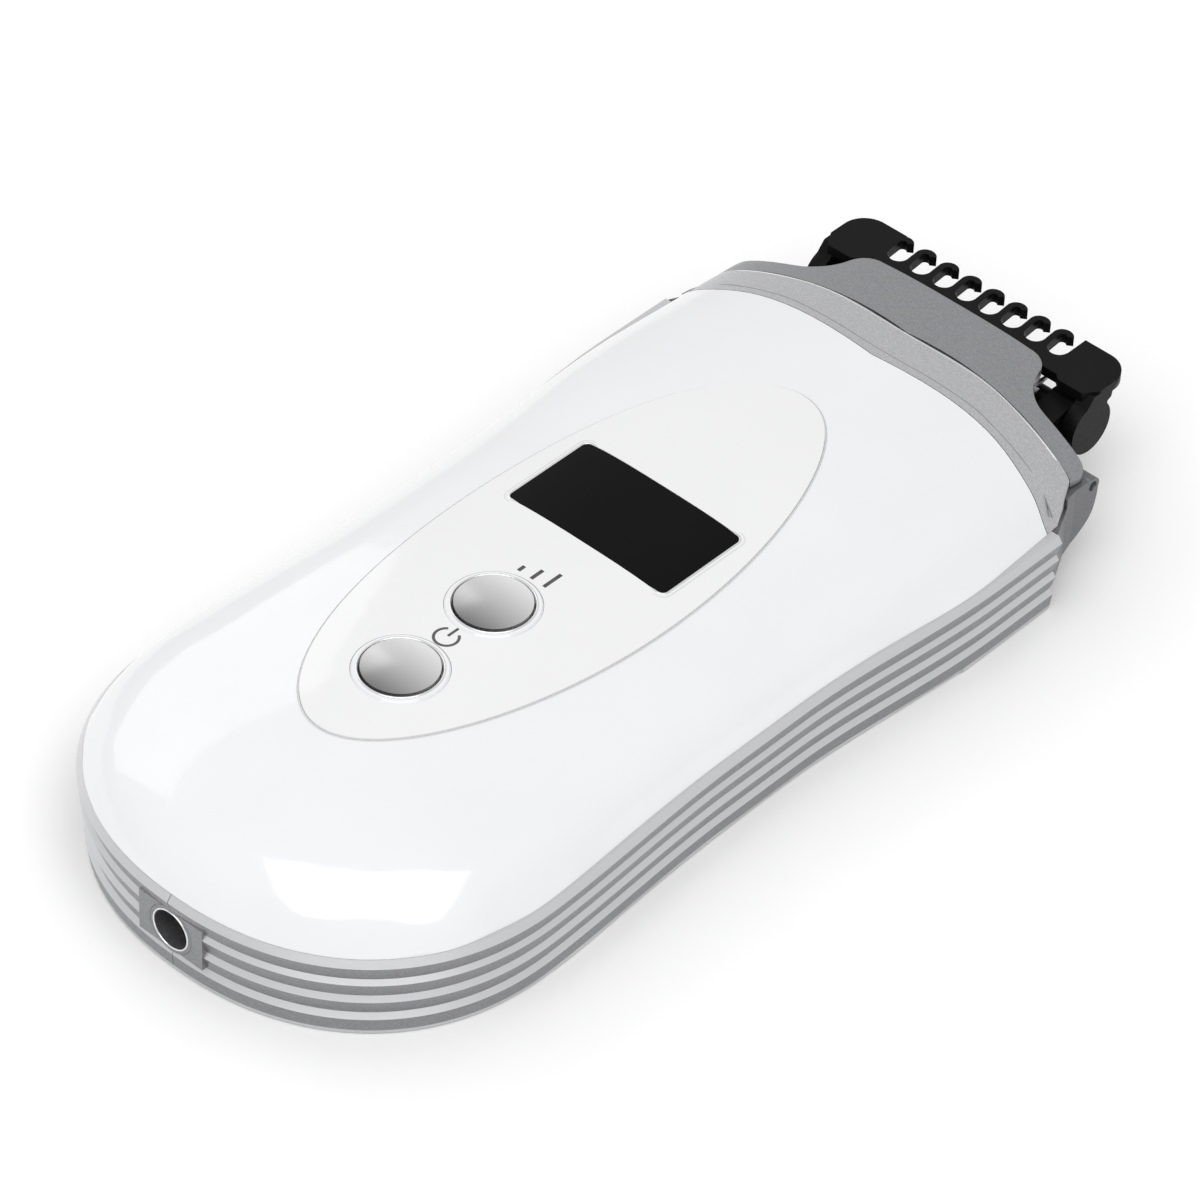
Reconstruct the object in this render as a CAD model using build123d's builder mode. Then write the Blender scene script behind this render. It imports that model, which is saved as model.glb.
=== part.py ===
from build123d import *
from math import sqrt
import os

# Cordless hair clipper with a hooked comb head: every piece as its own solid, in millimetres.
# Origin under the middle of the bounding box, on the table. +X right, +Y towards the comb, +Z up.

os.makedirs("parts", exist_ok=True)

# ---- Driving dimensions -------------------------------------------------------------------------
TOP_Z = 25.2            # highest line of the crowned top
RIM_Z = 13.6            # where the white cover meets the ribbed band
CROWN_DROP = 8.0        # fall of the gentle part of the crown at the rim
ROLL_DROP = 3.5         # extra fall where the crown rolls over into the rim
NOSE_SLOPE = 0.075      # the top runs down towards the comb
WAIST_HALF = 33.8
FRONT_FLARE = 2.5       # the body is this much wider each side at the comb end than at the waist
TAIL_FLARE = 1.6
TAIL_START_Y = -48.0    # the rounded tail begins here
TAIL_LENGTH = 33.3
TAIL_POWER = 2.2        # a little squarer than an ellipse
BODY_FRONT_Y = 52.7
SEAM_Y = 62.2           # seam between the collar and the head cap
COVER_WALL = 2.2

FASCIA_Y = -7.4
FASCIA_HALF = (18.7, 47.5)
FASCIA_RAISE = 0.25
FASCIA_THICK = 1.5
DISPLAY_Y = 3.5
DISPLAY_SIZE = (28.4, 15.9)
BUTTON_R = 5.35
BUTTON_TOP_Z = 26.3
BUTTON_DOME = 0.4       # the top of each button rises this much in the middle
BUTTON_GAP = 0.25
RING_WIDTH = 1.0
LEVEL_Y = -22.0
POWER_Y = -39.6

BOARD_TOP_Z = 18.0
BOARD_THICK = 1.2

RIB_TOPS = (2.8, 6.1, 9.4, 12.6)
RIB_OUT = (0.1, 0.3, 0.55, 0.8)      # how far each rib stands outside the cover's rim
RIB_FACE = 2.5                       # each rib leans out over this height, then slopes back in
RIB_DEPTH = 0.8
BAND_FOOT_Z = 0.6
BAND_WALL = 2.6                      # from the rim outline to the inside of the band

JACK_Z = 7.45
JACK_R = 2.95
JACK_WALL = 0.8
JACK_FACE_Y = -81.6
JACK_LENGTH = 13.0
JACK_GUIDE = 5.0                     # the part of the bore that guides the plug

CAP_FOOT_Z = 15.4
NOSE_FOOT_Z = 16.6                   # the middle of the cap stops higher, over the blades
CAP_WALL = 1.6
JAW_HALF = 33.2
JAW_WALL = 1.6
JAW_TOP_Z = 15.2
JAW_STEP_Y = 57.7                    # behind this the jaw stops under the collar
LIP_Y, LIP_Z, LIP_R = 63.9, 13.7, 1.35
MOUTH_HALF = 25.4                    # opening in the head that the comb unit reaches into

SHAFT_Z = 10.6
SHAFT_R = 1.0
MOTOR_FRONT_Y = 38.0
MOTOR_SIZE = (20.0, 25.0, 15.0)
CAM_HUB_Y = (38.6, 41.4)
CAM_R = 2.6
ECCENTRICITY = 0.7
CAM_PIN_R = 0.75
LEVER_PIVOT_Y = 50.0
LEVER_PIN_R = 1.2
LEVER_POST_Y = 64.0
POST_R = 1.5
BLADE_TOOTH_PITCH = 1.4
BLADE_SCREW_X, BLADE_SCREW_Y = 12.0, 59.6

PIVOT_Y, PIVOT_Z = 73.6, 13.5        # axis that the comb tilts about
PIVOT_R = 2.0
COMB_TOP_Z = 19.5
COMB_THICK = 1.6
COMB_HALF_WIDTH = 25.0
COMB_FRONT_Y = 82.1
COMB_REAR_Y = 73.4
COMB_CORNER = 4.0
CHEEK_THICK = 2.4
ARM_INNER, ARM_OUTER = 17.9, 22.2
HOOK_PITCH = 4.23
HOOK_COUNT = 7                       # free hooks; one more grows out of the left block
HOOK_WIDTH = 1.0
FIRST_HOOK_X = -12.6
LEFT_BLOCK_X = FIRST_HOOK_X - HOOK_PITCH + 0.2      # the solid ends of the comb start here
RIGHT_BLOCK_X = FIRST_HOOK_X + HOOK_COUNT * HOOK_PITCH - 0.6
RUNNING_FIT = 0.05


# ---- Shared shapes --------------------------------------------------------------------------------
def ramp(t):
    """Smooth step from 0 to 1."""
    t = min(1.0, max(0.0, t))
    return t * t * (3 - 2 * t)


def half_width(y):
    """Half width of the cover's rim: a waist that flares to the comb end and to the tail."""
    return WAIST_HALF + FRONT_FLARE * ramp((y - 2) / 38) + TAIL_FLARE * ramp((-12 - y) / 38)


def crown_height(x, y):
    """Height of the crowned top over the point x, y."""
    tail = max(0.0, TAIL_START_Y - y) / TAIL_LENGTH
    reach = ((abs(x) / half_width(y)) ** TAIL_POWER + tail**TAIL_POWER) ** (1 / TAIL_POWER)
    inner = min(reach, 1.04)
    ahead = y - 30.0
    nose = NOSE_SLOPE * (sqrt(ahead**2 + 64.0) + ahead) / 2
    return TOP_Z - CROWN_DROP * inner**3 - ROLL_DROP * inner**14 - (reach - inner) * 75 - nose


def crown_block(lift=0.0):
    """Everything below the crowned top, raised or lowered by lift."""
    grid = [
        [Vector(4 * i, 4 * j - 3, crown_height(4 * i, 4 * j - 3) + lift) for j in range(-21, 22)]
        for i in range(-10, 11)
    ]
    return Solid.extrude(Face.make_surface_from_array_of_points(grid, tol=0.01), Vector(0, 0, -60))


def rim_points(grow=0.0):
    """Right half of the cover's rim, moved out by grow, from the middle of the tail to the front."""
    tail_length = TAIL_LENGTH + grow
    points = [(0, TAIL_START_Y - tail_length)]
    for turn in (0.2, 0.4, 0.6, 0.75, 0.87, 0.95):
        drop = (1 - turn**TAIL_POWER) ** (1 / TAIL_POWER)
        points.append((turn * (half_width(TAIL_START_Y) + grow), TAIL_START_Y - tail_length * drop))
    for y in (TAIL_START_Y, -30, -10, 6, 20, 34, BODY_FRONT_Y):
        points.append((half_width(y) + grow, y))
    return points


def plan_outline(front_y, grow=0.0):
    """Plan of the body cut straight across at front_y; grow moves the sides and the tail out."""
    with BuildSketch() as plan:
        with BuildLine():
            side = Spline(*rim_points(grow), tangents=[(1, 0), (0, 1)])
            if front_y > BODY_FRONT_Y:
                ahead = Line(side @ 1, (half_width(BODY_FRONT_Y) + grow, front_y))
                Line(ahead @ 1, (0, front_y))
            else:
                Line(side @ 1, (0, BODY_FRONT_Y))
            mirror(about=Plane.YZ)
        make_face()
    return plan.sketch


def behind(points):
    """Plan of everything behind a curve that crosses the body; points run from the middle out."""
    with BuildSketch() as plan:
        with BuildLine():
            right = Spline(*points)
            flank = Line(right @ 1, (60, points[-1][1] - 8))
            Line(flank @ 1, (60, -100))
            Line((60, -100), (0, -100))
            mirror(about=Plane.YZ)
        make_face()
    return plan.sketch


SEAM = [(0, SEAM_Y), (14, SEAM_Y + 0.2), (23.6, 61.1), (32.2, 59.6)]
COVER_FRONT = [(0, 54.6), (14, 55.3), (23, 54.5), (30, 52.8), (38, 51.2)]


def write(piece, name):
    piece.part.label = name
    export_step(piece.part, f"parts/{name}.step")


def box_between(low, high, mode=Mode.ADD):
    """Plain box from its lowest to its highest corner, in the part being built."""
    size = [b - a for a, b in zip(low, high)]
    middle = [(a + b) / 2 for a, b in zip(low, high)]
    with Locations(tuple(middle)):
        Box(*size, mode=mode)


def rod(axis_plane, centre, radius, length, mode=Mode.ADD):
    """Round bar that starts on a plane and runs along its normal, in the part being built."""
    with BuildSketch(axis_plane) as section:
        with Locations(centre):
            Circle(radius)
    extrude(section.sketch, amount=length, mode=mode)


def oval(inset):
    """Plan of the control fascia, made smaller by inset."""
    with BuildSketch() as plan:
        with Locations((0, FASCIA_Y)):
            Ellipse(FASCIA_HALF[0] - inset, FASCIA_HALF[1] - inset)
    return plan.sketch


def display_plan(grow=0.0):
    with BuildSketch() as plan:
        with Locations((0, DISPLAY_Y)):
            RectangleRounded(DISPLAY_SIZE[0] + 2 * grow, DISPLAY_SIZE[1] + 2 * grow, 1.0 + grow)
    return plan.sketch


CROWN = crown_block()
CROWN_INSIDE = crown_block(-COVER_WALL)
FASCIA_TOP = crown_block(FASCIA_RAISE)
FASCIA_UNDER = crown_block(FASCIA_RAISE - FASCIA_THICK)
DOME_R = (BUTTON_R**2 + BUTTON_DOME**2) / (2 * BUTTON_DOME)
BUTTONS = {"level": LEVEL_Y, "power": POWER_Y}
SCREWS = [(-25, -52), (25, -52), (-25, 38), (25, 38)]

# ---- White top cover ------------------------------------------------------------------------------
with BuildPart() as cover_room:
    with BuildSketch(Plane.XY.offset(RIM_Z - 1)):
        add(plan_outline(75, -COVER_WALL))
    extrude(amount=15)
    add(CROWN_INSIDE, mode=Mode.INTERSECT)

with BuildPart() as upper_shell:
    with BuildSketch(Plane.XY.offset(RIM_Z)):
        add(plan_outline(70))
    extrude(amount=15)
    add(CROWN, mode=Mode.INTERSECT)
    add(cover_room.part, mode=Mode.SUBTRACT)

with BuildPart() as fascia_seat:
    with BuildSketch(Plane.XY.offset(RIM_Z)):
        add(oval(-0.2))
    extrude(amount=15)
    add(FASCIA_UNDER, mode=Mode.SUBTRACT)

with BuildPart() as top_cover:
    add(upper_shell.part)
    with BuildSketch():
        add(behind(COVER_FRONT))
    extrude(amount=40, mode=Mode.INTERSECT)
    add(fascia_seat.part, mode=Mode.SUBTRACT)
    with BuildSketch(Plane.XY.offset(RIM_Z)):
        add(oval(2.4))
    extrude(amount=15, mode=Mode.SUBTRACT)
    with BuildSketch(Plane.XY.offset(2.0)):
        with Locations(*SCREWS):
            Circle(3.2)
    extrude(amount=18.2)
    with BuildSketch(Plane.XY.offset(2.0)):
        with Locations(*SCREWS):
            Circle(1.35)
    extrude(amount=8.5, mode=Mode.SUBTRACT)
write(top_cover, "top_cover")

# ---- Silver collar between the cover and the head --------------------------------------------------
with BuildPart() as head_collar:
    add(upper_shell.part)
    with BuildSketch() as collar_plan:
        with BuildLine():
            flank = Line((half_width(50), 47), (half_width(50), 51.3))
            Line(flank @ 1, SEAM[-1])
            Spline(*reversed(SEAM), tangents=[(-1, 0.25), (-1, 0)])
            Line((0, SEAM_Y), (0, 47))
            Line((0, 47), flank @ 0)
        make_face()
        mirror(about=Plane.YZ)
        with Locations((0, 0.12)):
            add(behind(COVER_FRONT), mode=Mode.SUBTRACT)
    extrude(amount=40, mode=Mode.INTERSECT)
    for low_x in (-40, 30):
        box_between((low_x, JAW_STEP_Y - 0.2, 10), (low_x + 10, 63, CAP_FOOT_Z), Mode.SUBTRACT)
write(head_collar, "head_collar")

# ---- Control fascia, display window and buttons -----------------------------------------------------
with BuildPart() as control_fascia:
    with BuildSketch(Plane.XY.offset(RIM_Z)):
        add(oval(0.15))
        add(display_plan(0.1), mode=Mode.SUBTRACT)
        with Locations((0, LEVEL_Y), (0, POWER_Y)):
            Circle(BUTTON_R + BUTTON_GAP + RING_WIDTH + 0.05, mode=Mode.SUBTRACT)
    extrude(amount=15)
    add(FASCIA_TOP, mode=Mode.INTERSECT)
    add(FASCIA_UNDER, mode=Mode.SUBTRACT)
write(control_fascia, "control_fascia")

with BuildPart() as display_window:
    with BuildSketch(Plane.XY.offset(TOP_Z - 2.1)):
        add(display_plan())
    extrude(amount=5)
    add(FASCIA_TOP, mode=Mode.INTERSECT)
write(display_window, "display_window")

with BuildPart() as button_rings:
    with BuildSketch(Plane.XY.offset(TOP_Z - 2.8)):
        with Locations((0, LEVEL_Y), (0, POWER_Y)):
            Circle(BUTTON_R + BUTTON_GAP + RING_WIDTH)
            Circle(BUTTON_R + BUTTON_GAP, mode=Mode.SUBTRACT)
    extrude(amount=3.2)
    chamfer(button_rings.faces().filter_by(Axis.Z).group_by(Axis.Z)[-1].edges(), length=0.25)
write(button_rings, "button_rings")

for button_name, button_y in BUTTONS.items():
    with BuildPart() as button:
        with BuildSketch(Plane.YZ) as button_side:
            with BuildLine():
                skirt = Line(
                    (button_y + BUTTON_R, 21.9), (button_y + BUTTON_R, BUTTON_TOP_Z - BUTTON_DOME)
                )
                ThreePointArc(
                    skirt @ 1,
                    (button_y + BUTTON_R / 2, BUTTON_TOP_Z - DOME_R + sqrt(DOME_R**2 - BUTTON_R**2 / 4)),
                    (button_y, BUTTON_TOP_Z),
                )
                Line((button_y, BUTTON_TOP_Z), (button_y, 21.3))
                Line((button_y, 21.3), (button_y + 6.3, 21.3))
                Line((button_y + 6.3, 21.3), (button_y + 6.3, 21.9))
                Line((button_y + 6.3, 21.9), skirt @ 0)
            make_face()
        revolve(axis=Axis((0, button_y, 0), (0, 0, 1)))
    write(button, f"{button_name}_button")

    with BuildPart() as plunger:
        with BuildSketch(Plane.XY.offset(19.2)):
            with Locations((0, button_y)):
                Circle(1.5)
        extrude(amount=2.1)
    write(plunger, f"{button_name}_plunger")

with BuildPart() as tact_switches:
    for button_y in BUTTONS.values():
        box_between((-3, button_y - 3, BOARD_TOP_Z), (3, button_y + 3, 20.1))
    with BuildSketch(Plane.XY.offset(18.3)):
        with Locations((0, LEVEL_Y), (0, POWER_Y)):
            Circle(1.6)
    extrude(amount=3, mode=Mode.SUBTRACT)
write(tact_switches, "tact_switches")

# ---- Electronics -------------------------------------------------------------------------------------
with BuildPart() as main_board:
    with BuildSketch(Plane.XY.offset(BOARD_TOP_Z - BOARD_THICK)):
        with Locations((0, -20.5)):
            RectangleRounded(33, 65, 2)
        with GridLocations(27, 59, 2, 2):
            with Locations((0, -20.5)):
                Circle(1.1, mode=Mode.SUBTRACT)
    extrude(amount=BOARD_THICK)
write(main_board, "main_board")

with BuildPart() as display_frame:
    with BuildSketch(Plane.XY.offset(BOARD_TOP_Z)):
        with Locations((0, 2.4)):
            Rectangle(31, 18)
            Rectangle(27, 14, mode=Mode.SUBTRACT)
    extrude(amount=1.9)
write(display_frame, "display_frame")

with BuildPart() as display_module:
    box_between((-15.5, -6.6, 19.9), (15.5, 11.4, 21.8))
write(display_module, "display_module")

with BuildPart() as driver_chips:
    for low, high in (
        ((-12.5, -36, BOARD_TOP_Z), (-7.5, -29, 19.6)),
        ((7.5, -36, BOARD_TOP_Z), (11.5, -31, 19.2)),
        ((7.5, -24, BOARD_TOP_Z), (13.5, -18, 19.6)),
    ):
        box_between(low, high)
write(driver_chips, "driver_chips")

with BuildPart() as battery_cells:
    with BuildSketch(Plane.XZ.offset(14)):
        with Locations((-8, 9.4), (8, 9.4)):
            Circle(7)
    extrude(amount=50)
write(battery_cells, "battery_cells")

with BuildPart() as battery_tabs:
    for tab_y in (-64.4, -13.9):
        box_between((-11, tab_y, 7), (11, tab_y + 0.3, 12))
write(battery_tabs, "battery_tabs")

# ---- Charging socket in the tail ---------------------------------------------------------------------
with BuildPart() as charging_socket:
    with BuildSketch(Plane.XZ.offset(-JACK_FACE_Y)):
        with Locations((0, JACK_Z)):
            Circle(JACK_R + JACK_WALL)
    extrude(amount=-JACK_LENGTH)
    with BuildSketch(Plane.XZ.offset(-JACK_FACE_Y)):
        with Locations((0, JACK_Z)):
            Circle(JACK_R)
    extrude(amount=-10.5, mode=Mode.SUBTRACT)
    with BuildSketch(Plane.XZ.offset(-JACK_FACE_Y - JACK_GUIDE)):
        with Locations((0, JACK_Z)):
            Circle(JACK_R + 0.3)
    extrude(amount=-5.5, mode=Mode.SUBTRACT)
write(charging_socket, "charging_socket")

with BuildPart() as socket_pin:
    with BuildSketch(Plane.XZ.offset(-JACK_FACE_Y - 10.5)):
        with Locations((0, JACK_Z)):
            Circle(1.05)
    extrude(amount=5.2)
    fillet(socket_pin.edges().group_by(Axis.Y)[0], radius=0.6)
write(socket_pin, "socket_pin")

# ---- Ribbed band in two halves ------------------------------------------------------------------------
band_sections = [(BAND_FOOT_Z, RIB_OUT[0] - 0.3)]
for rib_top, rib_out in zip(RIB_TOPS, RIB_OUT):
    if rib_top > RIB_TOPS[0]:
        band_sections.append((rib_top - RIB_FACE, rib_out - RIB_DEPTH))
    band_sections.append((rib_top, rib_out))
band_sections.append((RIM_Z, 0.1))

with BuildPart() as band:
    for section_z, section_out in band_sections:
        with BuildSketch(Plane.XY.offset(section_z)):
            add(plan_outline(BODY_FRONT_Y, section_out))
    loft(ruled=True)
    with BuildSketch(Plane.XY.offset(BAND_FOOT_Z)):
        add(plan_outline(BODY_FRONT_Y + 1, -BAND_WALL))
    extrude(amount=20, mode=Mode.SUBTRACT)
    with BuildSketch(Plane.XZ.offset(-JACK_FACE_Y)):
        with Locations((0, JACK_Z)):
            RectangleRounded(11.5, 6.8, 0.8)
    extrude(amount=-3.0)
    with BuildSketch(Plane.XZ.offset(-JACK_FACE_Y)):
        with Locations((0, JACK_Z)):
            RectangleRounded(11.5, 6.8, 0.8)
    extrude(amount=5.0, mode=Mode.SUBTRACT)
    with BuildSketch(Plane.XZ.offset(90)):
        with Locations((0, JACK_Z)):
            Circle(JACK_R + JACK_WALL)
    extrude(amount=-20, mode=Mode.SUBTRACT)

for side_name, side_sign in (("left", -1), ("right", 1)):
    with BuildPart() as half_band:
        add(band.part)
        with BuildSketch():
            with Locations((side_sign * 50.04, 0)):
                Rectangle(100, 200)
        extrude(amount=40, mode=Mode.INTERSECT)
    write(half_band, f"{side_name}_band")

# ---- Bottom cover and its screws ------------------------------------------------------------------------
with BuildPart() as bottom_cover:
    with BuildSketch():
        add(plan_outline(BODY_FRONT_Y, -0.3))
    extrude(amount=BAND_FOOT_Z)
    with BuildSketch(Plane.XY.offset(BAND_FOOT_Z)):
        add(plan_outline(BODY_FRONT_Y, -BAND_WALL - 0.3))
    extrude(amount=1.2)
    with Locations(*[(x, y, 0) for x, y in SCREWS]):
        CounterBoreHole(radius=1.5, counter_bore_radius=2.9, counter_bore_depth=1.0, depth=5)
write(bottom_cover, "bottom_cover")


# ---- Head cap: the darker silver nose over the blades ------------------------------------------------
def nose_outline():
    """Plan of the head cap from behind the seam to the nose."""
    with BuildSketch() as plan:
        with BuildLine():
            front = Line((0, 73.0), (13.6, 73.0))
            corner = ThreePointArc(front @ 1, (16.2, 72.3), (17.4, 70.6))
            neck = Spline(
                corner @ 1, (18.5, 67.8), (20.9, 65.4), (25.2, 64.2), tangents=[(0.25, -1), (1, -0.14)]
            )
            ear = Line(neck @ 1, (30.8, 63.4))
            tip = ThreePointArc(ear @ 1, (32.1, 62.7), (32.5, 61.5))
            side = Line(tip @ 1, (32.2, 59.4))
            Line(side @ 1, (32.2, 50))
            Line((32.2, 50), (0, 50))
            mirror(about=Plane.YZ)
        make_face()
    return plan.sketch


CAP_INSIDE = crown_block(-CAP_WALL)

with BuildPart() as cap_room:
    with BuildSketch(Plane.XY.offset(CAP_FOOT_Z - 1)):
        with BuildLine():
            Polyline(
                (0, 80), (22.0, 80), (22.0, 64.6), (24.4, 62.4), (30.2, 61.8), (30.2, 50), (0, 50)
            )
            mirror(about=Plane.YZ)
        make_face()
    extrude(amount=15)
    add(CAP_INSIDE, mode=Mode.INTERSECT)

with BuildPart() as head_cap:
    with BuildSketch(Plane.XY.offset(CAP_FOOT_Z)):
        add(nose_outline())
        with Locations((0, 0.15)):
            add(behind(SEAM), mode=Mode.SUBTRACT)
    extrude(amount=15)
    add(CROWN, mode=Mode.INTERSECT)
    add(cap_room.part, mode=Mode.SUBTRACT)
    box_between((-MOUTH_HALF, 55, CAP_FOOT_Z - 1), (MOUTH_HALF, 80, NOSE_FOOT_Z), Mode.SUBTRACT)
write(head_cap, "head_cap")


# ---- Head jaw: side plates, chin and rolled lips ------------------------------------------------------
def jaw_profile(inset=0.0):
    """Side view of the jaw, on the YZ plane, from the band's front end to the lip."""
    with BuildSketch(Plane.YZ) as profile:
        with BuildLine():
            rear = BODY_FRONT_Y + 0.15 + inset
            chin = Spline(
                (rear, 4.3 + inset), (58.0, 4.9 + inset), (62.8 - inset, 7.2 + inset),
                (LIP_Y + LIP_R - 0.1 - inset, LIP_Z),
                tangents=[(1, 0.05), (0.03, 1)],
            )
            lip = Line(chin @ 1, (LIP_Y - LIP_R + 0.3, LIP_Z))
            notch = Line(lip @ 1, (LIP_Y - LIP_R + 0.3, JAW_TOP_Z))
            rim = Line(notch @ 1, (rear, JAW_TOP_Z))
            Line(rim @ 1, chin @ 0)
        make_face()
    return profile.sketch


with BuildPart() as head_jaw:
    extrude(jaw_profile(), amount=40, both=True)
    with BuildSketch():
        with BuildLine():
            Polyline(
                (0, 50), (36.3, 50), (36.1, BODY_FRONT_Y), (33.5, 58.0), (JAW_HALF, 60), (JAW_HALF, 70),
                (0, 70),
            )
            mirror(about=Plane.YZ)
        make_face()
    extrude(amount=30, mode=Mode.INTERSECT)
    extrude(jaw_profile(JAW_WALL), amount=JAW_HALF - JAW_WALL, both=True, mode=Mode.SUBTRACT)
    box_between((-40, 50, RIM_Z - 0.1), (40, JAW_STEP_Y, 20), Mode.SUBTRACT)
    box_between((-MOUTH_HALF, 58, 10.4), (MOUTH_HALF, 70, 20), Mode.SUBTRACT)
    box_between((-5, 58, 9.0), (5, 70, 12), Mode.SUBTRACT)
    box_between((-9, 50, 7), (9, 56, 20), Mode.SUBTRACT)
    with BuildSketch(Plane.YZ) as lip_profile:
        with Locations((LIP_Y, LIP_Z)):
            Circle(LIP_R)
    extrude(amount=JAW_HALF, both=True)
    box_between((-MOUTH_HALF, 60, 12), (MOUTH_HALF, 70, 20), Mode.SUBTRACT)
    for end_sign in (-1, 1):
        rod(Plane.YZ.offset(end_sign * JAW_HALF), (LIP_Y, LIP_Z), 0.8, -1.0 * end_sign, Mode.SUBTRACT)
write(head_jaw, "head_jaw")

# ---- Blades -----------------------------------------------------------------------------------------------
def blade_plan(half, rear_y, tip_y, teeth):
    """Toothed blade: a plate with a row of pointed teeth towards the comb."""
    root_y = tip_y - 3.0
    with BuildSketch() as plan:
        with Locations((0, (rear_y + root_y) / 2)):
            Rectangle(2 * half, root_y - rear_y)
        for i in range(teeth):
            tooth_x = (i - (teeth - 1) / 2) * BLADE_TOOTH_PITCH
            with BuildLine():
                Polyline(
                    (tooth_x - 0.42, root_y - 0.1), (tooth_x - 0.2, tip_y), (tooth_x + 0.2, tip_y),
                    (tooth_x + 0.42, root_y - 0.1), close=True,
                )
            make_face()
    return plan.sketch


with BuildPart() as fixed_blade:
    with BuildSketch(Plane.XY.offset(17.0)):
        add(blade_plan(17.2, 58, 74.2, 24))
        with Locations((-BLADE_SCREW_X, BLADE_SCREW_Y), (BLADE_SCREW_X, BLADE_SCREW_Y)):
            Circle(1.1, mode=Mode.SUBTRACT)
    extrude(amount=0.5)
write(fixed_blade, "fixed_blade")

with BuildPart() as moving_blade:
    with BuildSketch(Plane.XY.offset(16.4)):
        add(blade_plan(14.6, 62, 73.4, 20))
    extrude(amount=0.5)
write(moving_blade, "moving_blade")

with BuildPart() as blade_carrier:
    box_between((-7, 60.5, 13.8), (7, 67, 16.4))
    box_between((-1.8, 61.4, 13), (1.8, 66.4, 17), Mode.SUBTRACT)
write(blade_carrier, "blade_carrier")

with BuildPart() as blade_holder:
    box_between((-16.5, 57, 17.5), (16.5, 65, 19.2))
    box_between((-8, 58, 19.2), (8, 64, 20.2))
    for screw_x in (-BLADE_SCREW_X, BLADE_SCREW_X):
        rod(Plane.XY.offset(17), (screw_x, BLADE_SCREW_Y), 1.05, 1.8, Mode.SUBTRACT)
write(blade_holder, "blade_holder")

with BuildPart() as blade_screws:
    for screw_x in (-BLADE_SCREW_X, BLADE_SCREW_X):
        rod(Plane.XY.offset(15.9), (screw_x, BLADE_SCREW_Y), 1.9, 1.1)
        rod(Plane.XY.offset(17.0), (screw_x, BLADE_SCREW_Y), 1.0, 1.6)
write(blade_screws, "blade_screws")

# ---- Drive: motor, cam and lever -----------------------------------------------------------------------------
with BuildPart() as motor:
    with BuildSketch(Plane.XZ.offset(-MOTOR_FRONT_Y)):
        with Locations((0, SHAFT_Z)):
            RectangleRounded(MOTOR_SIZE[0], MOTOR_SIZE[2], 5)
    extrude(amount=MOTOR_SIZE[1])
    rod(Plane.XZ.offset(-MOTOR_FRONT_Y), (0, SHAFT_Z), SHAFT_R + RUNNING_FIT, 6, Mode.SUBTRACT)
write(motor, "motor")

with BuildPart() as motor_shaft:
    rod(Plane.XZ.offset(-CAM_HUB_Y[1]), (0, SHAFT_Z), SHAFT_R, 9)
write(motor_shaft, "motor_shaft")

with BuildPart() as cam:
    rod(Plane.XZ.offset(-CAM_HUB_Y[1]), (0, SHAFT_Z), CAM_R, CAM_HUB_Y[1] - CAM_HUB_Y[0])
    rod(Plane.XZ.offset(-CAM_HUB_Y[1]), (0, SHAFT_Z), SHAFT_R + 0.01, 2.8, Mode.SUBTRACT)
    rod(Plane.XZ.offset(-CAM_HUB_Y[1] - 0.8), (0, SHAFT_Z), CAM_R, 0.8)
    rod(Plane.XZ.offset(-CAM_HUB_Y[1] - 4.2), (0, SHAFT_Z + ECCENTRICITY), CAM_PIN_R, 3.4)
write(cam, "cam")

with BuildPart() as drive_lever:
    with BuildSketch(Plane.XY.offset(8.2)):
        with Locations((0, 45.4)):
            RectangleRounded(8.6, 5.4, 1.2)
        with Locations((0, LEVER_PIVOT_Y)):
            Circle(3.0)
    extrude(amount=4.6)
    with BuildSketch(Plane.XY.offset(9.6)):
        with Locations((0, (LEVER_PIVOT_Y + LEVER_POST_Y) / 2)):
            Rectangle(4.2, LEVER_POST_Y - LEVER_PIVOT_Y)
        with Locations((0, LEVER_POST_Y)):
            Circle(2.1)
    extrude(amount=1.8)
    rod(Plane.XY.offset(11.4), (0, LEVER_POST_Y), POST_R, 4.5)
    rod(Plane.XY.offset(8), (0, LEVER_PIVOT_Y), LEVER_PIN_R + RUNNING_FIT, 6, Mode.SUBTRACT)
    box_between((-2.2, 42, 8), (2.2, 46.4, 13), Mode.SUBTRACT)
write(drive_lever, "drive_lever")

with BuildPart() as lever_pin:
    rod(Plane.XY.offset(4.5), (0, LEVER_PIVOT_Y), LEVER_PIN_R, 8.9)
    rod(Plane.XY.offset(13.2), (0, LEVER_PIVOT_Y), 2.0, 0.6)
write(lever_pin, "lever_pin")

with BuildPart() as drive_frame:
    box_between((-13, 11, 1.9), (13, 52.5, 3.0))
    for wall_x in (-12, 10.4):
        box_between((wall_x, 15, 3.0), (wall_x + 1.6, 36, 9.0))
    rod(Plane.XY.offset(3.0), (0, LEVER_PIVOT_Y), 2.5, 4.9)
    rod(Plane.XY.offset(4.4), (0, LEVER_PIVOT_Y), LEVER_PIN_R + 0.02, 6, Mode.SUBTRACT)
write(drive_frame, "drive_frame")

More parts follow.
